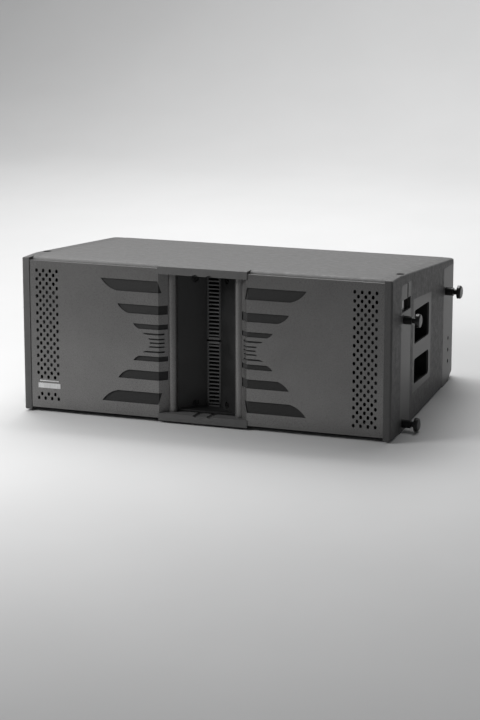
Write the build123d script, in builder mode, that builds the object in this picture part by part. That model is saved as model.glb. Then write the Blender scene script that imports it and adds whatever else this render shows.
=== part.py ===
"""Line array speaker module: two woofers and a central slot horn in a wedge cabinet, with side rigging.

Millimetres. +X right, +Y back, +Z up. Origin: centre of the footprint, under the level front strip.
Depths are given as setbacks: how far behind the front plane a thing stands (see back()).
Heights near the middle are given from the cabinet's mid height (see level()).
"""
import os
from math import radians, tan

from build123d import *

# ---- cabinet -------------------------------------------------------------------------------
cab_width = 744.0
cab_height = 300.0
cab_depth = 446.0
flat_depth = 60.0          # top and bottom run level this far, then the wedge starts
wedge_angle = 4.4          # degrees, on the top and again on the bottom
wall = 15.0                # top, bottom, back and baffle boards
side_wall = 27.0           # side boards, thick enough to sink the rigging rails into
bar_width = 15.0           # front edge of a side board that shows beside the grille
rear_corner = 18.0         # rounding of the rear outer corners
bar_round = 4.0            # rounding along the outer edges of the side boards
tongue_half = 90.0         # the centre part of top and bottom that comes out to the front plane
tongue_round = 1.5
edge_setback = 12.0        # beside the tongue the board's edge stands back this far
edge_round = 14.0
mid_height = cab_height / 2
half_width = cab_width / 2
side_inner = half_width - side_wall
bar_inner = half_width - bar_width
overcut = 2.0              # how far cutters run past a face

# ---- grilles -------------------------------------------------------------------------------
grille_gap = 0.5
grille_face = 1.5          # setback of the grille's face
grille_thick = 2.0
grille_return = 6.5        # depth of its folded edges
grille_reveal = 5.0        # cabinet height showing above and below the grille
grille_outer = bar_inner - grille_gap
grille_inner = 89.0        # where the flat face turns back toward the horn
valley_x, valley_setback = 74.0, 16.0
bead_radius = 8.0
cloth_thick = 1.0
cloth_outer = 232.0        # the cloth only backs the slots
hole_columns = 7
hole_pitch_x = 7.03
hole_pitch_z = 16.8
hole_rows = 16
hole_margin = 14.7         # from the outermost column to the grille's outer edge
hole_first_x = grille_outer - hole_margin - (hole_columns - 1) * hole_pitch_x
hole_width, hole_height = 5.4, 7.4
badge_width, badge_height, badge_thick = 47.0, 10.0, 1.0
badge_x, badge_level = -318.5, -100.5
strip_width, strip_height, strip_level = 40.0, 2.2, -91.0
badge_clear = 6.5          # holes stay this far from the badge

# ---- horn ----------------------------------------------------------------------------------
mouth_half, mouth_setback = 59.0, 26.0
slot_half, slot_setback = 14.3, 63.5
horn_flange = 4.0
flange_half = 76.0
horn_back = 70.0
horn_clear = 0.3
horn_end_wall = 3.0
horn_cut_half = 62.0
screw_x, screw_level = 32.0, 121.5
recess_radius, recess_depth = 7.0, 3.0
screw_head = 4.5
relief_x, relief_radius = 14.0, 7.0

# ---- waveguides and high drivers -------------------------------------------------------------
guide_gap = 2.0            # half the bar between the two waveguides
guide_height = 129.0
guide_nose_half = 14.0
guide_flange_half, guide_flange = 22.0, 6.0
vane_half, vane_count, vane_pitch, vane_thick, vane_depth = 10.5, 16, 7.5, 2.4, 14.0
throat_level, throat_setback = 60.0, 180.0
throat_radius, throat_bore = 28.0, 18.0
driver_flange_radius, driver_flange = 45.0, 8.0
driver_radius, driver_depth = 50.0, 24.0
driver_magnet_radius, driver_magnet_depth = 42.0, 22.0
driver_cap_radius, driver_cap_depth = 20.0, 4.0

# ---- woofers and ports -----------------------------------------------------------------------
baffle_setback = 30.0
woofer_x = 206.0
frame_radius, frame_flange = 128.0, 5.0
basket_radius, basket_wall = 115.0, 3.0
basket_depth = 75.0        # from the baffle's front to the rear plate of the basket
basket_plate = 6.0
basket_neck_radius = 62.0
ledge = 8.0                # step inside the basket that carries the spider
spoke_count, window_angle = 6, 42.0
woofer_hole = 116.0
surround_inner, surround_outer = 98.0, 112.0
surround_thick = 1.6
cone_front = 36.0          # setback of the cone's front edge
cone_depth = 54.0
cone_thick = 1.5
coil_radius, coil_wall = 25.2, 1.4
coil_length = 34.0
pole_radius = 24.0
gap_radius = 28.0          # inside radius of the magnet's ring
magnet_radius, magnet_depth, magnet_plate = 70.0, 20.0, 8.0
spider_thick, spider_outer = 1.2, 60.0
cap_radius, cap_rise, cap_thick = 36.0, 11.0, 1.2
woofer_screws, woofer_screw_ring, woofer_screw_radius, woofer_screw_head = 8, 121.5, 4.0, 2.0
port_margin, port_level = 2.5, 104.0
port_radius, port_wall, port_length = 24.0, 2.5, 100.0
port_x = side_inner - port_radius - port_margin

# ---- rails, links and plungers ---------------------------------------------------------------
rail_thick = 22.0          # rail depth into the side board
rail_face = 6.0            # its outer wall
rail_back = 4.0            # its inner wall
front_rail_start, front_rail_width, front_rail_level = 61.0, 62.0, 130.0
rear_rail_start, rear_rail_level = 360.0, 112.0
rail_rim = 5.0             # wall at the front and rear of a rail's channel
rear_rail_rim = 10.0
link_thick, link_side = 10.0, 1.0
front_tongue_start, front_tongue_width = 80.5, 18.0
front_link_bottom, front_link_shoulder = -40.0, 72.0
link_sink = 8.0            # how far the stowed link stays under the top face
front_link_travel = 45.0
opening_width, opening_length = 15.0, 24.0
window_bottom, window_top = 79.0, 102.0
sight_setback, sight_width, sight_top = 101.0, 6.0, 129.0
front_pin_setback, front_pin_levels = 79.0, (64.0, -134.0)
rear_pin_setback, rear_pin_level = 375.0, 65.0
latch_below_tip = 25.0
rear_head_end, rear_head_bottom, rear_head_top = 411.0, 40.0, 110.0
rear_bar_start, rear_link_bottom = 385.0, -116.0
rear_link_travel = 35.0
splay_setback, splay_levels, splay_radius = 398.0, (-34.0, -57.5, -81.0), 4.1
splay_clear = 0.3
rear_end_hole = -104.0
rear_step_setback, rear_step_rise = 405.0, 22.0
pin_radius, pin_clear = 5.4, 0.3
barrel_radius, barrel_length = 8.0, 16.0
neck_length = 8.0
knob_radius, knob_length, knob_round = 13.0, 8.0, 3.5
nose_short = 1.0           # the nose stops this far before the rail's inner face
bolt_radius, bolt_head_radius, bolt_head = 3.0, 6.0, 4.0
front_bolt_levels, rear_bolt_levels = (62.0, -20.0, -62.0), (85.0, -60.0)

# ---- handles ---------------------------------------------------------------------------------
plate_start, plate_end, plate_thick = 142.0, 266.0, 4.0
plate_front_half, plate_rear_half = 91.0, 84.0
hold_start, hold_end, hold_round = 151.0, 252.0, 6.0
upper_hold, lower_hold = (3.0, 68.0), (-74.0, -26.0)
cup_depth, cup_wall, cup_margin = 66.0, 2.5, 3.0

# ---- rear connector plate and crossover --------------------------------------------------------
panel_width, panel_height, panel_thick = 210.0, 120.0, 3.0
panel_sink, panel_ledge = 10.0, 10.0
socket_x, socket_radius, socket_flange, socket_depth = 32.0, 12.0, 28.0, 24.0
socket_bore, socket_bore_depth = 9.0, 16.0
panel_screw_radius, panel_screw_head, panel_screw_edge = 3.5, 2.0, 6.0
board_x, board_width, board_height, board_thick = -190.0, 150.0, 100.0, 1.6
post_radius, post_length, post_inset = 4.0, 12.0, 8.0
coil_spots = ((-40.0, 20.0, 24.0), (38.0, -18.0, 20.0))
can_radius, can_length = 9.0, 26.0


def back(setback):
    """Y of a place that stands this far behind the front plane."""
    return setback - cab_depth / 2


def level(height):
    """Z of a height that is counted from the cabinet's mid height."""
    return mid_height + height


def taper(setback):
    """How far the wedge has come in from the full height here."""
    return max(0.0, setback - flat_depth) * tan(radians(wedge_angle))


def roof(setback):
    return cab_height - taper(setback)


def facing(setback):
    """A front-facing plane: sketch x is X and sketch y is Z; extrude a negative amount to go back."""
    return Plane.XZ.offset(-back(setback))


def side_points(start, end, inset=0.0):
    """Side outline of the cabinet between two setbacks, in Y and Z."""
    stations = [start, flat_depth, end] if start < flat_depth < end else [start, end]
    lower = [(back(s), taper(s) + inset) for s in stations]
    upper = [(back(s), roof(s) - inset) for s in reversed(stations)]
    return lower + upper


def rail_points(start, end, top):
    """Side outline of a rail: it stands on the wedge's underside and has a level top."""
    return [(back(start), taper(start)), (back(end), taper(end)), (back(end), level(top)), (back(start), level(top))]


def save(builder, name):
    builder.part.label = name
    export_step(builder.part, f"parts/{name}.step")


def save_pair(builder, stem):
    """Write a right-hand piece and its mirrored left-hand twin."""
    save(builder, f"{stem}_right")
    with BuildPart() as twin:
        mirror(builder.part, about=Plane.YZ)
    save(twin, f"{stem}_left")


# ---- cabinet boards --------------------------------------------------------------------------
def edge_relief(x_from, x_to):
    """Cutter that sets a board's front edge back and rounds its outer corner, top and bottom."""
    front, face, crown = back(-overcut), back(edge_setback), back(edge_setback + edge_round)
    high, low = cab_height + overcut, -overcut
    with BuildPart() as relief:
        with BuildSketch(Plane.YZ.offset(x_from)):
            with BuildLine():
                Polyline((crown, high), (front, high), (front, low), (crown, low), (crown, 0))
                RadiusArc((crown, 0), (face, edge_round), edge_round)
                Line((face, edge_round), (face, cab_height - edge_round))
                RadiusArc((face, cab_height - edge_round), (crown, cab_height), edge_round)
                Line((crown, cab_height), (crown, high))
            make_face()
        extrude(amount=x_to - x_from)
    return relief.part


def make_top_and_bottom():
    relief = edge_relief(tongue_half, half_width)
    with BuildPart() as top:
        with BuildSketch(Plane.YZ):
            ridge = [(back(0), cab_height), (back(flat_depth), cab_height), (back(cab_depth), roof(cab_depth))]
            Polygon(*ridge, *[(y, z - wall) for y, z in reversed(ridge)], align=None)
        extrude(amount=side_inner, both=True)
        add(relief, mode=Mode.SUBTRACT)
        mirror(relief, about=Plane.YZ, mode=Mode.SUBTRACT)
        with BuildSketch(facing(0)):
            with Locations((-relief_x, level(screw_level + 9.5)), (relief_x, level(screw_level + 9.5))):
                Circle(relief_radius)
        extrude(amount=-baffle_setback, mode=Mode.SUBTRACT)
        front_edges = top.edges().filter_by_position(Axis.Y, back(0) - 0.1, back(0) + 0.1)
        fillet(front_edges.filter_by(Axis.X).sort_by(Axis.Z)[-1], tongue_round)
    save(top, "top_panel")
    with BuildPart() as bottom:
        mirror(top.part, about=Plane.XY.offset(mid_height))
    save(bottom, "bottom_panel")


def make_side_panels():
    with BuildPart() as side:
        with BuildSketch(Plane.YZ.offset(side_inner)):
            Polygon(*side_points(0, cab_depth), align=None)
        extrude(amount=side_wall)
        outer = side.edges().filter_by(Axis.Z).filter_by_position(Axis.X, half_width - 0.1, half_width + 0.1)
        fillet(outer.sort_by(Axis.Y)[-1], rear_corner)
        face = side.edges().filter_by_position(Axis.X, half_width - 0.1, half_width + 0.1)
        rear_line = back(cab_depth - rear_corner) - 0.1
        fillet(face.filter_by(lambda edge: edge.center().Y < rear_line), bar_round)
        add(edge_relief(side_inner - overcut, bar_inner), mode=Mode.SUBTRACT)
        with BuildSketch(Plane.YZ.offset(half_width - rail_thick)):
            front_end = front_rail_start + front_rail_width
            Polygon(*rail_points(front_rail_start, front_end, front_rail_level), align=None)
            Polygon(*rail_points(rear_rail_start, cab_depth, rear_rail_level), align=None)
        extrude(amount=rail_thick + overcut, mode=Mode.SUBTRACT)
        with BuildSketch(Plane.XY.offset(level(front_rail_level) - overcut)):
            with Locations((link_x(), back(front_tongue_start + front_tongue_width / 2))):
                SlotOverall(opening_length, opening_width, rotation=90)
        extrude(amount=wall + 3 * overcut, mode=Mode.SUBTRACT)
        with BuildSketch(Plane.YZ.offset(half_width - plate_thick)):
            plate_outline()
        extrude(amount=plate_thick + overcut, mode=Mode.SUBTRACT)
        with BuildSketch(Plane.YZ.offset(side_inner - overcut)):
            cup_outline(0)
        extrude(amount=side_wall + 2 * overcut, mode=Mode.SUBTRACT)
    save_pair(side, "side_panel")


def make_front_baffle():
    with BuildPart() as baffle:
        with BuildSketch(facing(baffle_setback)):
            with Locations((0, mid_height)):
                Rectangle(2 * side_inner, cab_height - 2 * wall)
                Rectangle(2 * horn_cut_half, cab_height - 2 * wall - 2 * overcut, mode=Mode.SUBTRACT)
            with Locations((-woofer_x, mid_height), (woofer_x, mid_height)):
                Circle(woofer_hole, mode=Mode.SUBTRACT)
            with Locations((0, mid_height)):
                with GridLocations(2 * port_x, 2 * port_level, 2, 2):
                    Circle(port_radius, mode=Mode.SUBTRACT)
        extrude(amount=-wall)
    save(baffle, "front_baffle")


def make_back_panel():
    with BuildPart() as panel:
        with BuildSketch(Plane.YZ):
            Polygon(*side_points(cab_depth - wall, cab_depth, wall), align=None)
        extrude(amount=side_inner, both=True)
        with BuildSketch(facing(cab_depth)):
            with Locations((0, mid_height)):
                RectangleRounded(panel_width + 1, panel_height + 1, 4)
        extrude(amount=panel_sink, mode=Mode.SUBTRACT)
        with BuildSketch(facing(cab_depth)):
            with Locations((0, mid_height)):
                Rectangle(panel_width - 2 * panel_ledge, panel_height - 2 * panel_ledge)
        extrude(amount=wall + overcut, mode=Mode.SUBTRACT)
    save(panel, "back_panel")


# ---- grilles ---------------------------------------------------------------------------------
def grille_section(thick):
    """Plan section of the grille: flat face, flank, valley and bead, as one sheet this thick."""
    with BuildSketch(Plane.XY) as section:
        with BuildLine():
            tip = (mouth_half, back(mouth_setback - 0.5))
            valley = (valley_x, back(valley_setback))
            crest = (mouth_half + bead_radius / 2, back(mouth_setback - bead_radius - 2.5))
            Polyline((grille_outer, back(grille_face)), (grille_inner, back(grille_face)), valley)
            ThreePointArc(valley, crest, tip)
            offset(amount=thick, side=Side.RIGHT)
        make_face()
    return section.sketch


def under_tongues():
    """Cutter that keeps the grille and cloth between the two tongues."""
    with BuildPart() as cutter:
        with BuildSketch(Plane.XZ.offset(cab_depth)):
            for height in (wall / 2, cab_height - wall / 2):
                with Locations((0, height)):
                    Rectangle(2 * (tongue_half + grille_gap), wall + 2 * horn_clear)
        extrude(amount=-2 * cab_depth)
    return cutter.part


def slot_rows():
    """Near and far height, inner x at both, outer x at both, for every slot above the mid line."""
    flank_x = valley_x + 1
    return (
        (97.0, 120.0, 84.0, 90.0, 174.0, 207.0),
        (55.0, 72.5, flank_x, flank_x, 150.0, 173.0),
        (26.0, 36.0, flank_x, flank_x, 128.0, 141.0),
        (15.5, 19.0, 80.0, 80.0, 112.0, 122.0),
        (6.0, 9.0, 80.0, 80.0, 106.0, 110.0),
    )


def slot_shape(row, sign):
    near, far, inner_near, inner_far, outer_near, outer_far = row
    near, far = level(sign * near), level(sign * far)
    middle = ((outer_near + outer_far) / 2 + 0.2 * (outer_far - outer_near), (near + far) / 2)
    with BuildLine() as outline:
        Polyline((outer_near, near), (inner_near, near), (inner_far, far), (outer_far, far))
        ThreePointArc((outer_far, far), middle, (outer_near, near))
    make_face(outline.edges())


def hole_spots(keep_clear):
    """Two staggered sets of columns; the left grille leaves out the holes behind its badge."""
    spots = []
    for column in range(hole_columns):
        rows = hole_rows - column % 2
        for row in range(rows):
            height = (row - (rows - 1) / 2) * hole_pitch_z
            near_badge = abs(height - badge_level) < badge_height / 2 + badge_clear
            if not (keep_clear and near_badge):
                spots.append((hole_first_x + column * hole_pitch_x, level(height)))
    return spots


def make_grille(name, keep_clear, left):
    height = cab_height - 2 * grille_reveal
    with BuildPart() as grille:
        with BuildSketch(Plane.XY.offset(grille_reveal)):
            add(grille_section(grille_thick))
        extrude(amount=height)
        with BuildSketch(facing(grille_face)):
            width = grille_outer - grille_inner
            with Locations((grille_inner + width / 2, mid_height)):
                Rectangle(width, height)
                Rectangle(width - 2 * grille_thick, height - 2 * grille_thick, mode=Mode.SUBTRACT)
            with Locations((grille_inner + grille_thick / 2, mid_height)):
                Rectangle(grille_thick, height - 2 * grille_thick, mode=Mode.SUBTRACT)
        extrude(amount=-grille_return)
        with BuildSketch(facing(grille_face - 1)):
            for row in slot_rows():
                slot_shape(row, 1)
                slot_shape(row, -1)
            with Locations(((80 + 107) / 2, mid_height)):
                Rectangle(107 - 80, 3)
        extrude(amount=-(mouth_setback - grille_face - 3), mode=Mode.SUBTRACT)
        with BuildSketch(facing(grille_face - 1)):
            with Locations(*hole_spots(keep_clear)):
                SlotOverall(hole_height, hole_width, rotation=90)
        extrude(amount=-(grille_thick + 2), mode=Mode.SUBTRACT)
        add(under_tongues(), mode=Mode.SUBTRACT)
    if left:
        with BuildPart() as twin:
            mirror(grille.part, about=Plane.YZ)
        save(twin, name)
    else:
        save(grille, name)


def make_cloths():
    height = cab_height - 2 * grille_reveal - 2 * grille_thick - 2
    with BuildPart() as cloth:
        with BuildSketch(Plane.XY.offset(mid_height - height / 2)):
            add(grille_section(grille_thick + cloth_thick))
            add(grille_section(grille_thick), mode=Mode.SUBTRACT)
            with Locations((0, back(0))):
                Rectangle(2 * (valley_x + grille_thick), 4 * mouth_setback, mode=Mode.SUBTRACT)
            with Locations((cloth_outer + half_width, 0)):
                Rectangle(2 * half_width, cab_depth, mode=Mode.SUBTRACT)
        extrude(amount=height)
        add(under_tongues(), mode=Mode.SUBTRACT)
    save_pair(cloth, "grille_cloth")


def make_badge():
    with BuildPart() as badge:
        with BuildSketch(facing(grille_face)):
            with Locations((badge_x, level(badge_level))):
                RectangleRounded(badge_width, badge_height, 1)
            with Locations((badge_x, level(strip_level))):
                Rectangle(strip_width, strip_height)
        extrude(amount=badge_thick)
    save(badge, "badge_plate")


# ---- horn, waveguides and high drivers ---------------------------------------------------------
def flank_plane(side, height, lift=0.0):
    """Plane lying on a horn flank at the screw, facing out of the horn."""
    run, rise = mouth_half - slot_half, slot_setback - mouth_setback
    setback = slot_setback - rise * (screw_x - slot_half) / run
    normal = Vector(-side * rise, -run, 0).normalized()
    place = Vector(side * screw_x, back(setback), level(height)) + normal * lift
    return Plane(origin=place, x_dir=Vector(0, 0, 1), z_dir=normal)


def flank_screws():
    return [(side, sign * screw_level) for side in (-1, 1) for sign in (-1, 1)]


def make_horn():
    half_height = mid_height - wall - overcut - horn_clear
    with BuildPart() as horn:
        with BuildSketch(Plane.XY.offset(mid_height - half_height)):
            Polygon(
                (mouth_half, back(mouth_setback)),
                (flange_half, back(mouth_setback)),
                (flange_half, back(mouth_setback + horn_flange)),
                (horn_cut_half - 1, back(mouth_setback + horn_flange)),
                (slot_half + 8, back(horn_back - 4)),
                (slot_half + 8, back(horn_back)),
                (slot_half, back(horn_back)),
                (slot_half, back(slot_setback)),
                align=None,
            )
            mirror(about=Plane.YZ)
        extrude(amount=2 * half_height)
        for end in (mid_height - half_height, mid_height + half_height - horn_end_wall):
            with BuildSketch(Plane.XY.offset(end)):
                Polygon(
                    (mouth_half, back(mouth_setback)),
                    (slot_half, back(slot_setback)),
                    (-slot_half, back(slot_setback)),
                    (-mouth_half, back(mouth_setback)),
                    align=None,
                )
            extrude(amount=horn_end_wall)
        for side, height in flank_screws():
            with BuildSketch(flank_plane(side, height)):
                Circle(recess_radius)
            extrude(amount=-recess_depth, mode=Mode.SUBTRACT)
    save(horn, "horn_body")
    with BuildPart() as screws:
        for side, height in flank_screws():
            with BuildSketch(flank_plane(side, height, -recess_depth)):
                Circle(screw_head)
            extrude(amount=recess_depth - 0.6)
            with BuildSketch(flank_plane(side, height, -0.6)):
                RegularPolygon(2.2, 6)
            extrude(amount=-1.6, mode=Mode.SUBTRACT)
    save(screws, "horn_screws")


def tapered(width, height, middle, radius, throat):
    """Solid that runs from an upright rectangle behind the horn to a round throat at the driver."""
    with BuildPart() as taper_part:
        with BuildSketch(facing(horn_back + guide_flange)):
            with Locations((0, middle)):
                Rectangle(width, height)
        with BuildSketch(facing(throat_setback)):
            with Locations((0, throat)):
                Circle(radius)
        loft()
    return taper_part.part


def make_waveguide(name, sign):
    middle = level(sign * (guide_gap + guide_height / 2))
    throat = level(sign * throat_level)
    slot_height = vane_count * vane_pitch + 1
    nose = slot_setback + 0.5
    with BuildPart() as guide:
        with BuildSketch(facing(nose)):
            with Locations((0, middle)):
                Rectangle(2 * guide_nose_half, guide_height)
        extrude(amount=-(horn_back - nose))
        with BuildSketch(facing(horn_back)):
            with Locations((0, middle)):
                Rectangle(2 * guide_flange_half, guide_height)
        extrude(amount=-guide_flange)
        add(tapered(2 * guide_flange_half - 8, guide_height - 4, middle, throat_radius, throat))
        with BuildSketch(facing(throat_setback)):
            with Locations((0, throat)):
                Circle(driver_flange_radius)
        extrude(amount=-driver_flange)
        with BuildSketch(facing(nose)):
            with Locations((0, middle)):
                Rectangle(2 * vane_half, slot_height)
        extrude(amount=-(horn_back + guide_flange - nose), mode=Mode.SUBTRACT)
        add(tapered(2 * vane_half, slot_height, middle, throat_bore, throat), mode=Mode.SUBTRACT)
        with BuildSketch(facing(throat_setback)):
            with Locations((0, throat)):
                Circle(throat_bore)
        extrude(amount=-driver_flange, mode=Mode.SUBTRACT)
        with BuildSketch(facing(nose + 0.5)):
            with Locations((0, middle)):
                with GridLocations(0, vane_pitch, 1, vane_count):
                    Rectangle(2 * vane_half, vane_thick)
        extrude(amount=-(horn_back - nose))
    save(guide, name)


def make_driver(name, sign):
    stages = (
        (driver_flange_radius, 6.0),
        (driver_radius, driver_depth),
        (driver_magnet_radius, driver_magnet_depth),
        (driver_cap_radius, driver_cap_depth),
    )
    setback = throat_setback + driver_flange
    with BuildPart() as driver:
        for radius, depth in stages:
            with BuildSketch(facing(setback)):
                with Locations((0, level(sign * throat_level))):
                    Circle(radius)
            extrude(amount=-depth)
            setback += depth
    save(driver, name)


# ---- woofers ---------------------------------------------------------------------------------
def turned(points):
    """Turn a closed outline of (radius, setback) points about the right-hand woofer's axis."""
    with BuildSketch(Plane.XY.offset(mid_height)) as section:
        with BuildLine():
            Polyline(*[(woofer_x + radius, back(setback)) for radius, setback in points], close=True)
        make_face()
    revolve(section.sketch, axis=woofer_axis())


def woofer_axis():
    return Axis((woofer_x, 0, mid_height), (0, 1, 0))


def make_baskets():
    face = baffle_setback
    plate = face + basket_depth
    with BuildPart() as basket:
        turned([
            (surround_outer, face - frame_flange),
            (frame_radius, face - frame_flange),
            (frame_radius, face),
            (basket_radius, face),
            (basket_radius, face + wall),
            (basket_neck_radius + basket_wall, plate),
            (basket_neck_radius + basket_wall, plate + basket_plate),
            (gap_radius + 1, plate + basket_plate),
            (gap_radius + 1, plate),
            (basket_neck_radius - 4, plate),
            (basket_neck_radius - 4, plate - ledge),
            (basket_neck_radius, plate - ledge),
            (surround_outer, face + wall),
        ])
        with BuildSketch() as window:
            with BuildLine():
                inner = CenterArc((0, 0), basket_neck_radius + 14, -window_angle / 2, window_angle)
                outer = CenterArc((0, 0), basket_radius + 10, -window_angle / 2, window_angle)
                Line(inner @ 0, outer @ 0)
                Line(inner @ 1, outer @ 1)
            make_face()
        with BuildSketch(facing(face + wall + 8)):
            with Locations((woofer_x, mid_height)):
                with PolarLocations(0, spoke_count):
                    add(window.sketch)
        extrude(amount=-(basket_depth - wall - 22), mode=Mode.SUBTRACT)
    save_pair(basket, "woofer_basket")


def make_cones():
    neck = cone_front + cone_depth
    neck_radius = coil_radius + coil_wall
    with BuildPart() as cone:
        turned([
            (surround_inner, cone_front),
            (surround_inner, cone_front + cone_thick),
            (neck_radius + cone_thick, neck),
            (neck_radius, neck),
            (neck_radius, neck - cone_thick),
            (surround_inner - cone_thick * 1.6, cone_front),
        ])
    save_pair(cone, "woofer_cone")
    slope = (cone_depth - cone_thick) / (surround_inner - cone_thick * 1.6 - neck_radius)
    seat = neck - cone_thick - (cap_radius - neck_radius) * slope - cap_thick - 0.1
    with BuildPart() as cap:
        with BuildSketch(Plane.XY.offset(mid_height)):
            with BuildLine():
                dome = [(0, cap_rise), (cap_radius / 2, cap_rise * 0.75), (cap_radius, 0)]
                outer = ThreePointArc(*[(woofer_x + r, back(seat - h)) for r, h in dome])
                inner = ThreePointArc(*[(woofer_x + r, back(seat + cap_thick - h)) for r, h in dome])
                Line(outer @ 0, inner @ 0)
                Line(outer @ 1, inner @ 1)
            make_face()
        revolve(axis=woofer_axis())
    save_pair(cap, "woofer_dust_cap")
    with BuildPart() as coil:
        start = neck - 3
        turned([
            (coil_radius, start),
            (coil_radius + coil_wall, start),
            (coil_radius + coil_wall, start + coil_length),
            (coil_radius, start + coil_length),
        ])
    save_pair(coil, "woofer_voice_coil")


def make_surrounds_and_spiders():
    roll = (surround_outer - surround_inner) / 2
    middle = woofer_x + surround_inner + roll
    with BuildPart() as surround:
        with BuildSketch(Plane.XY.offset(mid_height)):
            with BuildLine():
                base = back(cone_front)
                outer = CenterArc((middle, base), roll, 180, 180)
                inner = CenterArc((middle, base), roll - surround_thick, 180, 180)
                Line(outer @ 0, inner @ 0)
                Line(outer @ 1, inner @ 1)
            make_face()
        revolve(axis=woofer_axis())
    save_pair(surround, "woofer_surround")
    plate = baffle_setback + basket_depth
    with BuildPart() as spider:
        with BuildSketch(Plane.XY.offset(mid_height)):
            with BuildLine():
                start = coil_radius + coil_wall + 0.4
                crests = 5
                pitch = (spider_outer - start) / (2 * crests)
                knots = [(woofer_x + start + i * pitch, back(plate - ledge - spider_thick * 1.2 - (i % 2) * 2.0))
                         for i in range(2 * crests + 1)]
                Polyline(*knots)
                offset(amount=spider_thick, side=Side.LEFT)
            make_face()
        revolve(axis=woofer_axis())
    save_pair(spider, "woofer_spider")


def make_magnets():
    plate = baffle_setback + basket_depth + basket_plate
    end = plate + magnet_depth
    with BuildPart() as magnet:
        turned([
            (0, end + magnet_plate),
            (magnet_radius, end + magnet_plate),
            (magnet_radius, plate),
            (gap_radius, plate),
            (gap_radius, end),
            (pole_radius, end),
            (pole_radius, plate - 4),
            (0, plate - 4),
        ])
    save_pair(magnet, "woofer_magnet")


def make_woofer_screws():
    with BuildPart() as screws:
        with BuildSketch(facing(baffle_setback - frame_flange)):
            for x in (-woofer_x, woofer_x):
                with Locations((x, mid_height)):
                    with PolarLocations(woofer_screw_ring, woofer_screws, start_angle=180 / woofer_screws):
                        Circle(woofer_screw_radius)
        extrude(amount=woofer_screw_head)
    save(screws, "woofer_screws")


def make_ports():
    with BuildPart() as ports:
        with BuildSketch(facing(baffle_setback)):
            with Locations((0, mid_height)):
                with GridLocations(2 * port_x, 2 * port_level, 2, 2):
                    Circle(port_radius)
                    Circle(port_radius - port_wall, mode=Mode.SUBTRACT)
        extrude(amount=-port_length)
    save(ports, "port_tubes")


# ---- rails and links ---------------------------------------------------------------------------
def rail_inner():
    return half_width - rail_thick


def link_x():
    """Middle of the link, halfway between the rail's two walls."""
    return (half_width - rail_face + rail_inner() + rail_back) / 2


def pin_holes(places):
    """Barrel hole in the rail's outer wall and nose hole in its inner wall."""
    with BuildSketch(Plane.YZ.offset(half_width)) as barrel_holes:
        for setback, height in places:
            with Locations((back(setback), level(height))):
                Circle(barrel_radius)
    extrude(barrel_holes.sketch, amount=-rail_face, mode=Mode.SUBTRACT)
    with BuildSketch(Plane.YZ.offset(rail_inner())) as nose_holes:
        for setback, height in places:
            with Locations((back(setback), level(height))):
                Circle(pin_radius + pin_clear)
    extrude(nose_holes.sketch, amount=rail_back, mode=Mode.SUBTRACT)


def channel(start, end):
    """The hollow that the link runs in, open at both ends."""
    with BuildSketch(Plane.XY.offset(-overcut)) as hollow:
        width = rail_thick - rail_face - rail_back
        with Locations((link_x(), (back(start) + back(end)) / 2)):
            Rectangle(width, end - start)
    extrude(hollow.sketch, amount=cab_height, mode=Mode.SUBTRACT)


def make_front_rails():
    end = front_rail_start + front_rail_width
    with BuildPart() as rail:
        with BuildSketch(Plane.YZ.offset(rail_inner())):
            Polygon(*rail_points(front_rail_start, end, front_rail_level), align=None)
        extrude(amount=rail_thick)
        channel(front_rail_start + rail_rim, end - rail_rim)
        with BuildSketch(Plane.YZ.offset(half_width)):
            centre = back((front_rail_start + end) / 2)
            with Locations((centre, level((window_bottom + window_top) / 2))):
                Rectangle(front_rail_width - rail_rim, window_top - window_bottom)
            with Locations((back(sight_setback), level((window_top + sight_top) / 2))):
                Rectangle(sight_width, sight_top - window_top + 1)
        extrude(amount=-rail_face, mode=Mode.SUBTRACT)
        pin_holes([(front_pin_setback, height) for height in front_pin_levels])
    save_pair(rail, "front_rail")


def make_rear_rails():
    with BuildPart() as rail:
        with BuildSketch(Plane.YZ.offset(rail_inner())):
            Polygon(*rail_points(rear_rail_start, cab_depth, rear_rail_level), align=None)
        extrude(amount=rail_thick)
        outer = rail.edges().filter_by(Axis.Z).filter_by_position(Axis.X, half_width - 0.1, half_width + 0.1)
        fillet(outer.sort_by(Axis.Y)[-1], rear_corner)
        channel(rear_rail_start + rail_rim, cab_depth - rear_rail_rim)
        with BuildSketch(Plane.YZ.offset(rail_inner() - overcut)):
            low = taper(rear_step_setback)
            Polygon(
                (back(rear_step_setback), low - 20),
                (back(rear_step_setback), low + 4),
                (back(cab_depth) + overcut, low + 4 + rear_step_rise),
                (back(cab_depth) + overcut, low - 20),
                align=None,
            )
        extrude(amount=rail_thick + 2 * overcut, mode=Mode.SUBTRACT)
        with BuildSketch(Plane.YZ.offset(half_width)):
            for height in splay_levels:
                with Locations((back(splay_setback), level(height))):
                    Circle(splay_radius)
        extrude(amount=-rail_face, mode=Mode.SUBTRACT)
        pin_holes([(rear_pin_setback, rear_pin_level)])
    save_pair(rail, "rear_rail")


def link_plate(points):
    with BuildSketch(Plane.YZ.offset(link_x() - link_thick / 2)) as outline:
        Polygon(*[(back(setback), height) for setback, height in points], align=None)
    extrude(outline.sketch, amount=link_thick)


def link_cut(setback, low, high, radius):
    """A round hole, or a slot when low and high differ, through the link."""
    with BuildSketch(Plane.YZ.offset(link_x() - link_thick)) as hole:
        with Locations((back(setback), level((low + high) / 2))):
            if high > low:
                SlotCenterToCenter(high - low, 2 * radius, rotation=90)
            else:
                Circle(radius)
    extrude(hole.sketch, amount=2 * link_thick, mode=Mode.SUBTRACT)


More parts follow.
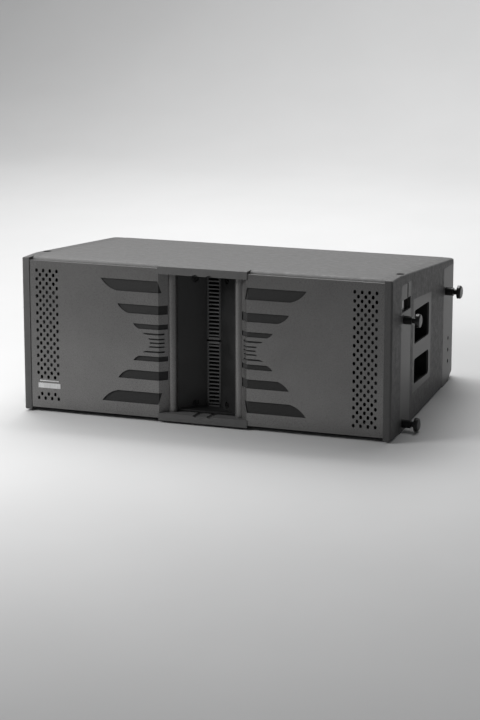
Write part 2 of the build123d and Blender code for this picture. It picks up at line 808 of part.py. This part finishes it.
def make_front_links():
    start = front_rail_start + rail_rim + link_side
    end = front_rail_start + front_rail_width - rail_rim - link_side
    tongue_end = front_tongue_start + front_tongue_width
    tip = roof(front_tongue_start + front_tongue_width) - link_sink
    shoulder = level(front_link_shoulder)
    with BuildPart() as link:
        link_plate([
            (start, level(front_link_bottom)),
            (end, level(front_link_bottom)),
            (end, shoulder),
            (tongue_end, shoulder),
            (tongue_end, tip),
            (front_tongue_start, tip),
            (front_tongue_start, shoulder),
            (start, shoulder),
        ])
        stay = front_pin_levels[0]
        link_cut(front_pin_setback, stay - front_link_travel, stay, pin_radius + pin_clear)
        latch = tip - mid_height - latch_below_tip
        link_cut(front_pin_setback, latch, latch, pin_radius + pin_clear)
    save_pair(link, "front_link")


def make_rear_links():
    start = rear_rail_start + rail_rim + link_side
    with BuildPart() as link:
        link_plate([
            (start, level(rear_head_bottom)),
            (rear_bar_start, level(rear_head_bottom)),
            (rear_bar_start, level(rear_link_bottom)),
            (rear_head_end, level(rear_link_bottom)),
            (rear_head_end, level(rear_head_top)),
            (start, level(rear_head_top)),
        ])
        link_cut(rear_pin_setback, rear_pin_level, rear_pin_level + rear_link_travel, pin_radius + pin_clear)
        for height in (*splay_levels, rear_end_hole):
            link_cut(splay_setback, height, height, splay_radius + splay_clear)
    save_pair(link, "rear_link")


# ---- plungers ----------------------------------------------------------------------------------
def plunger_places():
    return {
        "front_upper": (front_pin_setback, front_pin_levels[0]),
        "front_lower": (front_pin_setback, front_pin_levels[1]),
        "rear": (rear_pin_setback, rear_pin_level),
    }


def make_plungers():
    for place, (setback, height) in plunger_places().items():
        with BuildPart() as plunger:
            with BuildSketch(Plane.YZ.offset(rail_inner() + nose_short)):
                with Locations((back(setback), level(height))):
                    Circle(pin_radius)
            extrude(amount=rail_thick - nose_short + barrel_length + neck_length)
            chamfer(plunger.faces().sort_by(Axis.X)[0].edges(), 1.2)
            with BuildSketch(Plane.YZ.offset(half_width + barrel_length + neck_length)):
                with Locations((back(setback), level(height))):
                    Circle(knob_radius)
            extrude(amount=knob_length)
            fillet(plunger.faces().sort_by(Axis.X)[-1].edges(), knob_round)
        save_pair(plunger, f"{place}_plunger")


def make_barrels():
    with BuildPart() as barrels:
        for setback, height in plunger_places().values():
            with BuildSketch(Plane.YZ.offset(half_width - rail_face)):
                with Locations((back(setback), level(height))):
                    Circle(barrel_radius)
                    Circle(pin_radius + pin_clear, mode=Mode.SUBTRACT)
            extrude(amount=rail_face + barrel_length)
        mirror(about=Plane.YZ)
    save(barrels, "plunger_barrels")


def make_rail_bolts():
    front_middle = front_rail_start + front_rail_width / 2
    spots = [(front_middle, height) for height in front_bolt_levels]
    spots += [(rear_rail_start + 45, height) for height in rear_bolt_levels]
    with BuildPart() as bolts:
        for setback, height in spots:
            with BuildSketch(Plane.YZ.offset(side_inner)):
                with Locations((back(setback), level(height))):
                    RegularPolygon(bolt_head_radius, 6)
            extrude(amount=-bolt_head)
        mirror(about=Plane.YZ)
    save(bolts, "rail_bolts")


# ---- handles -----------------------------------------------------------------------------------
def plate_outline():
    Polygon(
        (back(plate_start), level(-plate_front_half)),
        (back(plate_end), level(-plate_rear_half)),
        (back(plate_end), level(plate_rear_half)),
        (back(plate_start), level(plate_front_half)),
        align=None,
    )


def cup_outline(inset):
    """Outline of the hand cup, a margin larger than the two hand-holds."""
    low, high = lower_hold[0] - cup_margin - cup_wall, upper_hold[1] + cup_margin + cup_wall
    width = hold_end - hold_start + 2 * cup_margin + 2 * cup_wall - 2 * inset
    with Locations((back((hold_start + hold_end) / 2), level((low + high) / 2))):
        RectangleRounded(width, high - low - 2 * inset, hold_round)


def make_handles():
    with BuildPart() as plate:
        with BuildSketch(Plane.YZ.offset(half_width - plate_thick)):
            plate_outline()
            for low, high in (upper_hold, lower_hold):
                with Locations((back((hold_start + hold_end) / 2), level((low + high) / 2))):
                    RectangleRounded(hold_end - hold_start, high - low, hold_round, mode=Mode.SUBTRACT)
        extrude(amount=plate_thick)
    save_pair(plate, "handle_plate")
    with BuildPart() as cup:
        with BuildSketch(Plane.YZ.offset(half_width - plate_thick - cup_depth)):
            cup_outline(0)
        extrude(amount=cup_depth)
        with BuildSketch(Plane.YZ.offset(half_width - plate_thick)):
            cup_outline(cup_wall)
        extrude(amount=-(cup_depth - cup_wall), mode=Mode.SUBTRACT)
    save_pair(cup, "handle_cup")


# ---- connector plate and crossover ---------------------------------------------------------------
def make_connector_plate():
    face = cab_depth - panel_sink
    sockets = [(-socket_x, mid_height), (socket_x, mid_height)]
    with BuildPart() as plate:
        with BuildSketch(facing(face)):
            with Locations((0, mid_height)):
                RectangleRounded(panel_width, panel_height, 4)
            with Locations(*sockets):
                Circle(socket_radius, mode=Mode.SUBTRACT)
        extrude(amount=-panel_thick)
    save(plate, "connector_plate")
    with BuildPart() as pair:
        with BuildSketch(facing(face + panel_thick)):
            with Locations(*sockets):
                RectangleRounded(socket_flange, socket_flange, 3)
        extrude(amount=-2.5)
        with BuildSketch(facing(face + panel_thick)):
            with Locations(*sockets):
                Circle(socket_radius)
        extrude(amount=socket_depth)
        with BuildSketch(facing(face + panel_thick + 2.5)):
            with Locations(*sockets):
                Circle(socket_bore)
                Circle(socket_bore - 3.5, mode=Mode.SUBTRACT)
        extrude(amount=socket_bore_depth, mode=Mode.SUBTRACT)
    save(pair, "speaker_sockets")
    with BuildPart() as screws:
        with BuildSketch(facing(face + panel_thick)):
            with Locations((0, mid_height)):
                span_x = panel_width - 2 * panel_screw_edge
                with GridLocations(span_x / 2, panel_height - 2 * panel_screw_edge, 3, 2):
                    Circle(panel_screw_radius)
        extrude(amount=-panel_screw_head)
    save(screws, "connector_screws")


def make_crossover():
    inside = cab_depth - wall
    with BuildPart() as board:
        with BuildSketch(facing(inside)):
            with Locations((board_x, mid_height)):
                with GridLocations(board_width - 2 * post_inset, board_height - 2 * post_inset, 2, 2):
                    Circle(post_radius)
        extrude(amount=post_length)
        with BuildSketch(facing(inside - post_length)):
            with Locations((board_x, mid_height)):
                Rectangle(board_width, board_height)
        extrude(amount=board_thick)
        for x, height, radius in coil_spots:
            with BuildSketch(facing(inside - post_length - board_thick)):
                with Locations((board_x + x, level(height))):
                    Circle(radius)
                    Circle(radius * 0.4, mode=Mode.SUBTRACT)
            extrude(amount=radius)
        with BuildSketch(facing(inside - post_length - board_thick)):
            with Locations((board_x, level(-24)), (board_x + 34, level(26)), (board_x + 56, level(26))):
                Circle(can_radius)
        extrude(amount=can_length)
    save(board, "crossover_board")


def main():
    os.makedirs("parts", exist_ok=True)
    make_top_and_bottom()
    make_side_panels()
    make_front_baffle()
    make_back_panel()
    make_grille("grille_right", keep_clear=False, left=False)
    make_grille("grille_left", keep_clear=True, left=True)
    make_cloths()
    make_badge()
    make_horn()
    make_waveguide("waveguide_upper", 1)
    make_waveguide("waveguide_lower", -1)
    make_driver("high_driver_upper", 1)
    make_driver("high_driver_lower", -1)
    make_baskets()
    make_cones()
    make_surrounds_and_spiders()
    make_magnets()
    make_woofer_screws()
    make_ports()
    make_front_rails()
    make_rear_rails()
    make_front_links()
    make_rear_links()
    make_plungers()
    make_barrels()
    make_rail_bolts()
    make_handles()
    make_connector_plate()
    make_crossover()


main()
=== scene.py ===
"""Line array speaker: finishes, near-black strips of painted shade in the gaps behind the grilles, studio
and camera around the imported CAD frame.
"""
from math import cos, pi, radians, sin

import bmesh
import bpy
from mathutils import Matrix, Vector


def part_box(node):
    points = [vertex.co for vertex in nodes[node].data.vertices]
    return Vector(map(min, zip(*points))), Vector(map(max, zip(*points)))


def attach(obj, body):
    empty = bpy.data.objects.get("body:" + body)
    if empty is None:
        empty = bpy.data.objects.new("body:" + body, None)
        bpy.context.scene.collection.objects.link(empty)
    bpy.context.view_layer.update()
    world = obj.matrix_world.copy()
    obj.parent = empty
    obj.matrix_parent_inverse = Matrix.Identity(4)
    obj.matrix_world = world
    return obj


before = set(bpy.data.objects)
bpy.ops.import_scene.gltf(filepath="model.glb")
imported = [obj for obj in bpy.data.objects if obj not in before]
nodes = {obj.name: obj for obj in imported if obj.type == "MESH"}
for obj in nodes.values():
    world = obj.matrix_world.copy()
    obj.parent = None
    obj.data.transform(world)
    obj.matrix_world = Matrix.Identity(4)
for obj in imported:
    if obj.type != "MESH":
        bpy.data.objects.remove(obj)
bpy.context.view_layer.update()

# ---- places taken from the frame -------------------------------------------------------------
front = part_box("side_panel_right")[0][1]
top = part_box("side_panel_right")[1][2]
mid = top / 2

# ---- sizes of fittings and finishes, in metres -------------------------------------------------
VANE_HALF = 0.0106               # half width of the waveguides' vanes
VANE_EDGE = 0.0003               # over which the vanes' tone fades into the waveguides' frame
THREAD = 0.0016                  # pitch of the cloth's threads
WAVES_PER_UNIT = 3.2             # bands that Blender's wave texture makes per unit at scale 1
# painted shade: the five sizes below place near-black blocks where the gaps behind the grilles fall into
# shade
SHADE_STRIP_INNER = 0.091               # X where a shade strip starts, beside the centre tongue
SHADE_STRIP_FRONT = 0.0069              # from the grille's face back to the front of the shade strip
SHADE_STRIP_REAR = 0.0122               # from the cabinet's front plane back to the rear of the shade strip
SHADE_STRIP_EDGE = 0.012                # from the cabinet's top or bottom to the inner side of the shade strip
SHADE_STRIP_SUNK = 0.0004               # how far the shade strip stays under the grille's folded edge

# ---- camera and studio -------------------------------------------------------------------------
CAMERA_AZIMUTH = radians(20.307)
CAMERA_ELEVATION = radians(12.601)
CAMERA_DISTANCE = 4.1404
CAMERA_SHIFT_RIGHT = 0.0718      # the view's middle, seen from the centre of the front face
CAMERA_SHIFT_UP = -0.0239
CAMERA_LENS = 109.84
WEDGE_ANGLE = radians(4.4)       # the cabinet lies on its wedge underside
FLAT_DEPTH = 0.060               # the underside runs level this far back, then the wedge starts
FLOOR_HALF_WIDTH = 9.0
FLOOR_FRONT = 16.0               # how far the floor runs in front, for views from behind
BACKDROP_START = 2.2             # how far behind the crease the floor starts to curve up
BACKDROP_RADIUS = 1.6
BACKDROP_TOP = 4.5
BACKDROP_STEPS = 16
LIGHTS = (                       # name, place, what it points at, size, power in watts
    ("rear_softbox", (-0.7, 0.9, 2.5), (0, 0, mid), (2.4, 1.5), 84),
    ("key_softbox", (-0.95, -0.85, 0.85), (-0.30, front, top), (0.5, 0.5), 13),
    ("right_fill", (2.8, -1.6, 1.1), (0, 0, mid), (1.4, 1.6), 1),
    ("backdrop_light", (0, 0.9, 3.2), (0, 3.4, 1.0), (3.0, 1.0), 60),
)
WORLD_COLOUR = (0.9, 0.92, 0.95, 1.0)
WORLD_STRENGTH = 0.13


# ---- node helpers ------------------------------------------------------------------------------
class Shader:
    """A new material with a principled surface, and short calls that add the nodes behind it."""

    def __init__(self, name, roughness=0.5, metallic=0.0, specular=0.5):
        self.material = bpy.data.materials.new(name)
        self.material.use_nodes = True
        self.tree = self.material.node_tree
        self.surface = self.tree.nodes["Principled BSDF"]
        self.surface.inputs["Roughness"].default_value = roughness
        self.surface.inputs["Metallic"].default_value = metallic
        self.surface.inputs["Specular IOR Level"].default_value = specular
        self.place = self.add("ShaderNodeTexCoord").outputs["Object"]

    def add(self, kind, **settings):
        node = self.tree.nodes.new(kind)
        for key, value in settings.items():
            setattr(node, key, value)
        return node

    def link(self, source, target):
        self.tree.links.new(source, target)

    def stretched(self, scale):
        mapping = self.add("ShaderNodeMapping")
        mapping.inputs["Scale"].default_value = scale
        self.link(self.place, mapping.inputs["Vector"])
        return mapping.outputs["Vector"]

    def noise(self, size, detail=3.0, rough=0.55, stretch=None):
        """Noise whose features are about this many metres across."""
        node = self.add("ShaderNodeTexNoise")
        node.inputs["Scale"].default_value = 1.0 / size
        node.inputs["Detail"].default_value = detail
        node.inputs["Roughness"].default_value = rough
        self.link(self.stretched(stretch) if stretch else self.place, node.inputs["Vector"])
        return node.outputs["Fac"]

    def cells(self, size):
        node = self.add("ShaderNodeTexVoronoi")
        node.inputs["Scale"].default_value = 1.0 / size
        self.link(self.place, node.inputs["Vector"])
        return node.outputs["Distance"]

    def ramp(self, value, stops):
        """A colour ramp with stops of (position, (r, g, b))."""
        node = self.add("ShaderNodeValToRGB")
        ramp = node.color_ramp
        while len(ramp.elements) < len(stops):
            ramp.elements.new(0.5)
        for element, (position, colour) in zip(ramp.elements, stops):
            element.position = position
            element.color = (*colour, 1.0)
        self.link(value, node.inputs["Fac"])
        return node.outputs["Color"]

    def spread(self, value, low, high, start=0.3, end=0.7):
        """Map a value from start..end to low..high."""
        node = self.add("ShaderNodeMapRange")
        for name, number in (("From Min", start), ("From Max", end), ("To Min", low), ("To Max", high)):
            node.inputs[name].default_value = number
        self.link(value, node.inputs["Value"])
        return node.outputs["Result"]

    def maths(self, operation, first, second):
        node = self.add("ShaderNodeMath", operation=operation)
        for socket, value in zip(node.inputs, (first, second)):
            if isinstance(value, (int, float)):
                socket.default_value = value
            else:
                self.link(value, socket)
        return node.outputs["Value"]

    def mix(self, factor, first, second):
        node = self.add("ShaderNodeMix", data_type="RGBA")
        for name, value in (("Factor", factor), ("A", first), ("B", second)):
            socket = node.inputs[name]
            if isinstance(value, tuple):
                socket.default_value = (*value, 1.0)
            elif isinstance(value, float):
                socket.default_value = value
            else:
                self.link(value, socket)
        return node.outputs["Result"]

    def colour(self, value):
        self.link(value, self.surface.inputs["Base Color"])

    def roughness(self, value):
        self.link(value, self.surface.inputs["Roughness"])

    def bump(self, height, depth, strength=1.0, below=None):
        node = self.add("ShaderNodeBump")
        node.inputs["Strength"].default_value = strength
        node.inputs["Distance"].default_value = depth
        self.link(height, node.inputs["Height"])
        if below:
            self.link(below, node.inputs["Normal"])
        self.link(node.outputs["Normal"], self.surface.inputs["Normal"])
        return node.outputs["Normal"]

    def edges(self, radius):
        """1 along convex and concave edges, 0 on open faces."""
        bevel = self.add("ShaderNodeBevel", samples=4)
        bevel.inputs["Radius"].default_value = radius
        plain = self.add("ShaderNodeNewGeometry").outputs["Normal"]
        dot = self.add("ShaderNodeVectorMath", operation="DOT_PRODUCT")
        self.link(bevel.outputs["Normal"], dot.inputs[0])
        self.link(plain, dot.inputs[1])
        return self.spread(dot.outputs["Value"], 1.0, 0.0, 0.90, 0.995)


def grey(value, warmth=0.0):
    return (value * (1 + warmth), value, value * (1 - warmth))


# ---- materials ---------------------------------------------------------------------------------
def textured_paint(name, base, grain=1.0):
    """Sprayed structure paint: pimpled skin, mottled sheen, a little rubbed along the edges."""
    shader = Shader(name, roughness=0.62, specular=0.45)
    pimples = shader.cells(0.0022 * grain)
    fine = shader.noise(0.0009 * grain, detail=4)
    broad = shader.noise(0.012, detail=3)
    blend = shader.maths("ADD", shader.maths("MULTIPLY", fine, 0.55), shader.maths("MULTIPLY", broad, 0.45))
    tone = shader.ramp(blend, (
        (0.30, grey(base * 0.82, 0.01)),
        (0.52, grey(base, 0.01)),
        (0.74, grey(base * 1.22, 0.01)),
    ))
    patches = shader.spread(shader.noise(0.02), 0.0, 0.55, 0.45, 0.75)
    worn = shader.maths("MULTIPLY", shader.edges(0.0016), patches)
    shader.colour(shader.mix(worn, tone, grey(base * 2.6, 0.02)))
    shader.roughness(shader.spread(broad, 0.50, 0.72))
    below = shader.bump(pimples, 0.00035, 0.9)
    shader.bump(fine, 0.00018, 0.8, below)
    return shader.material


def powder_coat(name, base, roughness=0.36, metallic=0.35, speckle=0.0007):
    """Smooth powder coat on sheet metal: fine orange peel and faint cloudiness."""
    shader = Shader(name, roughness=roughness, metallic=metallic)
    peel = shader.noise(speckle, detail=2)
    cloud = shader.noise(0.09, detail=3)
    tone = shader.ramp(cloud, (
        (0.30, grey(base * 0.93, 0.015)),
        (0.70, grey(base * 1.07, 0.015)),
    ))
    worn = shader.maths("MULTIPLY", shader.edges(0.0007), shader.spread(shader.noise(0.015), 0.15, 0.6))
    shader.colour(shader.mix(worn, tone, grey(base * 1.9, 0.01)))
    shader.roughness(shader.spread(peel, roughness - 0.04, roughness + 0.07))
    shader.bump(peel, 0.00004, 0.5)
    return shader.material


def moulded_plastic(name, base, roughness=0.45):
    shader = Shader(name, roughness=roughness)
    grain = shader.noise(0.0006, detail=3)
    cloud = shader.noise(0.03)
    shader.colour(shader.ramp(cloud, ((0.3, grey(base * 0.85)), (0.7, grey(base * 1.2)))))
    shader.roughness(shader.spread(cloud, roughness - 0.06, roughness + 0.08))
    shader.bump(grain, 0.00006, 0.5)
    return shader.material


def vane_plastic(name, frame_tone, vane_tone):
    """Black waveguide frame whose vanes, near the middle plane, have a paler satin skin."""
    shader = Shader(name, roughness=0.34)
    parts = shader.add("ShaderNodeSeparateXYZ")
    shader.link(shader.place, parts.inputs["Vector"])
    across = shader.maths("ABSOLUTE", parts.outputs["X"], 0.0)
    inside = shader.spread(across, 1.0, 0.0, VANE_HALF, VANE_HALF + VANE_EDGE)
    grain = shader.noise(0.0006, detail=3)
    cloud = shader.noise(0.02)
    vanes = shader.ramp(cloud, ((0.3, grey(vane_tone * 0.8)), (0.7, grey(vane_tone * 1.25))))
    shader.colour(shader.mix(inside, grey(frame_tone), vanes))
    shader.roughness(shader.spread(cloud, 0.28, 0.42))
    shader.bump(grain, 0.00005, 0.5)
    return shader.material


# painted shade: this near-black matte finish stands for the shade inside the gaps behind the grilles
def gap_shade_black(name, base):
    """Near-black strip that stands for the painted shade in the gaps behind the grilles: fine pits over
    soft lumps.
    """
    shader = Shader(name, roughness=0.95, specular=0.1)
    pits = shader.cells(0.0011)
    lumps = shader.noise(0.004, detail=4)
    shader.colour(shader.ramp(pits, ((0.15, grey(base * 0.4)), (0.6, grey(base)))))
    below = shader.bump(pits, 0.0004, 0.9)
    shader.bump(lumps, 0.0004, 0.6, below)
    return shader.material


def acoustic_cloth(name, base):
    """Woven cloth: two crossing sets of threads with open gaps."""
    shader = Shader(name, roughness=0.9, specular=0.2)
    waves = []
    for axis in ("X", "Z"):
        wave = shader.add("ShaderNodeTexWave", bands_direction=axis)
        wave.inputs["Scale"].default_value = 1.0 / THREAD / WAVES_PER_UNIT
        wave.inputs["Distortion"].default_value = 0.6
        wave.inputs["Detail"].default_value = 1.0
        shader.link(shader.place, wave.inputs["Vector"])
        waves.append(wave.outputs["Fac"])
    weave = shader.maths("MAXIMUM", *waves)
    lint = shader.noise(0.004, detail=4)
    threads = shader.ramp(weave, ((0.25, grey(base * 0.45)), (0.8, grey(base, 0.02))))
    shader.colour(shader.mix(lint, threads, grey(base * 1.2)))
    shader.bump(weave, 0.0003, 0.8)
    return shader.material


def brushed_metal(name, base, roughness=0.34, stretch=(1.0, 1.0, 40.0)):
    shader = Shader(name, roughness=roughness, metallic=0.9)
    lines = shader.noise(0.02, detail=5, stretch=stretch)
    stain = shader.noise(0.03, detail=2)
    shader.colour(shader.ramp(lines, ((0.3, grey(base * 0.75)), (0.7, grey(base * 1.2)))))
    shader.roughness(shader.spread(stain, roughness - 0.08, roughness + 0.12))
    shader.bump(lines, 0.00004, 0.5)
    return shader.material


def pulp_cone(name, base):
    """Pressed paper cone: felted fibres under a thin coat."""
    shader = Shader(name, roughness=0.7)
    fibres = shader.noise(0.0022, detail=6, rough=0.7)
    shader.colour(shader.ramp(fibres, ((0.3, grey(base * 0.6)), (0.7, grey(base * 1.4)))))
    shader.bump(fibres, 0.0002, 0.7)
    return shader.material


def impregnated_cloth(name):
    shader = Shader(name, roughness=0.8)
    weave = shader.cells(0.0012)
    shader.colour(shader.ramp(weave, ((0.2, (0.34, 0.22, 0.08)), (0.8, (0.52, 0.37, 0.16)))))
    shader.bump(weave, 0.0002, 0.7)
    return shader.material


def wound_copper(name):
    shader = Shader(name, roughness=0.3, metallic=1.0)
    turns = shader.noise(0.004, detail=2, stretch=(1.0, 30.0, 1.0))
    shader.colour(shader.ramp(turns, ((0.3, (0.42, 0.17, 0.07)), (0.7, (0.75, 0.36, 0.18)))))
    shader.bump(turns, 0.0001, 0.7)
    return shader.material


def circuit_board(name):
    shader = Shader(name, roughness=0.4)
    patches = shader.cells(0.006)
    shader.colour(shader.ramp(patches, ((0.30, (0.02, 0.09, 0.04)), (0.45, (0.03, 0.14, 0.06)))))
    shader.bump(patches, 0.0001, 0.4)
    return shader.material


def paint(material, *names):
    """Give CAD nodes this material."""
    for name in names:
        for place in nodes[name].material_slots:
            place.material = material


def pair(stem):
    return f"{stem}_left", f"{stem}_right"


def finish_cad():
    cabinet = textured_paint("cabinet_paint", 0.085)
    paint(cabinet, "top_panel", "bottom_panel", "back_panel", "front_baffle")
    paint(textured_paint("side_paint", 0.070), *pair("side_panel"))
    paint(powder_coat("grille_coat", 0.16, 0.28, 0.6), *pair("grille"))
    paint(acoustic_cloth("acoustic_cloth", 0.035), *pair("grille_cloth"))
    paint(brushed_metal("badge_metal", 0.62, 0.3, (40.0, 1.0, 1.0)), "badge_plate")
    horn = moulded_plastic("horn_plastic", 0.009, 0.42)
    paint(horn, "horn_body", "port_tubes", *pair("handle_cup"), "speaker_sockets")
    paint(vane_plastic("vane_plastic", 0.008, 0.07), "waveguide_upper", "waveguide_lower")
    paint(powder_coat("rail_coat", 0.085, 0.42, 0.3, 0.0012), *pair("front_rail"), *pair("rear_rail"))
    paint(powder_coat("handle_coat", 0.075, 0.42, 0.3, 0.0012), *pair("handle_plate"))
    paint(brushed_metal("link_steel", 0.30), *pair("front_link"), *pair("rear_link"))
    black = powder_coat("plunger_black", 0.010, 0.30, 0.1)
    plungers = (*pair("front_upper_plunger"), *pair("front_lower_plunger"), *pair("rear_plunger"))
    paint(black, *plungers, "plunger_barrels")
    driver = powder_coat("driver_black", 0.05, 0.4, 0.5)
    paint(driver, "high_driver_upper", "high_driver_lower", *pair("woofer_basket"))
    paint(brushed_metal("magnet_steel", 0.12), *pair("woofer_magnet"))
    paint(pulp_cone("cone_pulp", 0.03), *pair("woofer_cone"), *pair("woofer_dust_cap"))
    paint(moulded_plastic("surround_rubber", 0.02, 0.6), *pair("woofer_surround"))
    paint(impregnated_cloth("spider_cloth"), *pair("woofer_spider"))
    paint(wound_copper("coil_copper"), *pair("woofer_voice_coil"))
    oxide = powder_coat("black_oxide", 0.012, 0.45, 0.6)
    paint(oxide, "horn_screws", "woofer_screws", "connector_screws", "rail_bolts")
    paint(powder_coat("panel_black", 0.03, 0.5, 0.3), "connector_plate")
    paint(circuit_board("circuit_board"), "crossover_board")


def soften_edges():
    """Small bevels on the CAD solids whose edges the light catches."""
    widths = {
        0.0011: ("top_panel", "bottom_panel", *pair("side_panel")),
        0.0006: (*pair("grille"), *pair("handle_plate"), *pair("front_rail"), *pair("rear_rail")),
        0.0004: ("plunger_barrels", "badge_plate"),
    }
    for width, names in widths.items():
        for name in names:
            bevel = nodes[name].modifiers.new("soft_edge", "BEVEL")
            bevel.width = width
            bevel.segments = 2
            bevel.limit_method = "ANGLE"
            bevel.angle_limit = radians(40)
            bevel.use_clamp_overlap = True
            bevel.harden_normals = True


# ---- painted shade: near-black strips in the gaps behind the grilles ---------------------------
def add_gap_shade_strips():
    """Near-black strips of painted shade that fill the gaps behind the grilles' folded top and bottom
    edges.
    """
    # painted shade: near-black matte blocks fill the shadowed gaps where the grilles meet the cabinet
    material = gap_shade_black("gap_shade_black", 0.010)
    lowest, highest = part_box("grille_right")
    fold, board = lowest[1] + SHADE_STRIP_FRONT, front + SHADE_STRIP_REAR
    heights = (
        ("lower", top - highest[2] + SHADE_STRIP_SUNK, SHADE_STRIP_EDGE),
        ("upper", top - SHADE_STRIP_EDGE, highest[2] - SHADE_STRIP_SUNK),
    )
    for side, hand in ((-1, "left"), (1, "right")):
        for name, z_from, z_to in heights:
            mesh = bpy.data.meshes.new(f"gap_shade_strip_{name}")
            shape = bmesh.new()
            bmesh.ops.create_cube(shape, size=1.0)
            size = (highest[0] - SHADE_STRIP_INNER, board - fold, z_to - z_from)
            place = (side * (highest[0] + SHADE_STRIP_INNER) / 2, (board + fold) / 2, (z_from + z_to) / 2)
            bmesh.ops.scale(shape, vec=size, verts=shape.verts)
            bmesh.ops.translate(shape, vec=place, verts=shape.verts)
            shape.to_mesh(mesh)
            shape.free()
            mesh.materials.append(material)
            # painted shade: a near-black block standing in the shadowed gap at the grille's top or bottom
            # edge
            shade_block = bpy.data.objects.new(f"gap_shade_strip_{name}_{hand}", mesh)
            bpy.context.collection.objects.link(shade_block)
            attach(shade_block, "cabinet")


# ---- studio ------------------------------------------------------------------------------------
def add_floor():
    """Pale sweep under and behind the cabinet, tilted to the wedge underside that it lies on."""
    crease = front + FLAT_DEPTH
    profile = [(-FLOOR_FRONT, 0.0), (BACKDROP_START, 0.0)]
    for step in range(1, BACKDROP_STEPS + 1):
        angle = step / BACKDROP_STEPS * pi / 2
        profile.append((BACKDROP_START + BACKDROP_RADIUS * sin(angle), BACKDROP_RADIUS * (1 - cos(angle))))
    profile.append((profile[-1][0], BACKDROP_TOP))
    mesh = bpy.data.meshes.new("studio_floor")
    shape = bmesh.new()
    rows = []
    for y, z in profile:
        rows.append([shape.verts.new((x, y, z)) for x in (-FLOOR_HALF_WIDTH, FLOOR_HALF_WIDTH)])
    for near, far in zip(rows, rows[1:]):
        shape.faces.new((near[0], near[1], far[1], far[0]))
    shape.to_mesh(mesh)
    shape.free()
    mesh.shade_smooth()
    floor = bpy.data.objects.new("studio_floor", mesh)
    bpy.context.collection.objects.link(floor)
    floor.matrix_world = Matrix.Translation((0, crease, 0)) @ Matrix.Rotation(WEDGE_ANGLE, 4, "X")
    shader = Shader("floor_paper", roughness=0.85, specular=0.2)
    shader.colour(shader.ramp(shader.noise(0.4), ((0.3, grey(0.53)), (0.7, grey(0.55)))))
    mesh.materials.append(shader.material)


def add_light(name, place, target, size, power):
    light = bpy.data.lights.new(name, "AREA")
    light.shape = "RECTANGLE"
    light.size, light.size_y = size
    light.energy = power
    lamp = bpy.data.objects.new(name, light)
    lamp.location = place
    lamp.rotation_euler = (Vector(target) - Vector(place)).to_track_quat("-Z", "Y").to_euler()
    bpy.context.collection.objects.link(lamp)


def add_lights():
    for light in LIGHTS:
        add_light(*light)
    world = bpy.data.worlds.new("studio_world")
    world.use_nodes = True
    background = world.node_tree.nodes["Background"]
    background.inputs["Color"].default_value = WORLD_COLOUR
    background.inputs["Strength"].default_value = WORLD_STRENGTH
    bpy.context.scene.world = world


def add_camera():
    toward_camera = Vector((
        sin(CAMERA_AZIMUTH) * cos(CAMERA_ELEVATION),
        -cos(CAMERA_AZIMUTH) * cos(CAMERA_ELEVATION),
        sin(CAMERA_ELEVATION),
    ))
    right = Vector((cos(CAMERA_AZIMUTH), sin(CAMERA_AZIMUTH), 0))
    up = toward_camera.cross(right)
    face_centre = Vector((0, front, mid))
    camera = bpy.data.objects.new("camera", bpy.data.cameras.new("camera"))
    camera.data.lens = CAMERA_LENS
    camera.data.clip_start = 0.1
    camera.data.clip_end = 50
    shift = right * CAMERA_SHIFT_RIGHT + up * CAMERA_SHIFT_UP
    camera.location = face_centre + toward_camera * CAMERA_DISTANCE + shift
    camera.rotation_euler = (-toward_camera).to_track_quat("-Z", "Y").to_euler()
    bpy.context.collection.objects.link(camera)
    bpy.context.scene.camera = camera


finish_cad()
soften_edges()
add_gap_shade_strips()
add_floor()
add_lights()
add_camera()
bpy.context.scene.view_settings.view_transform = "Standard"
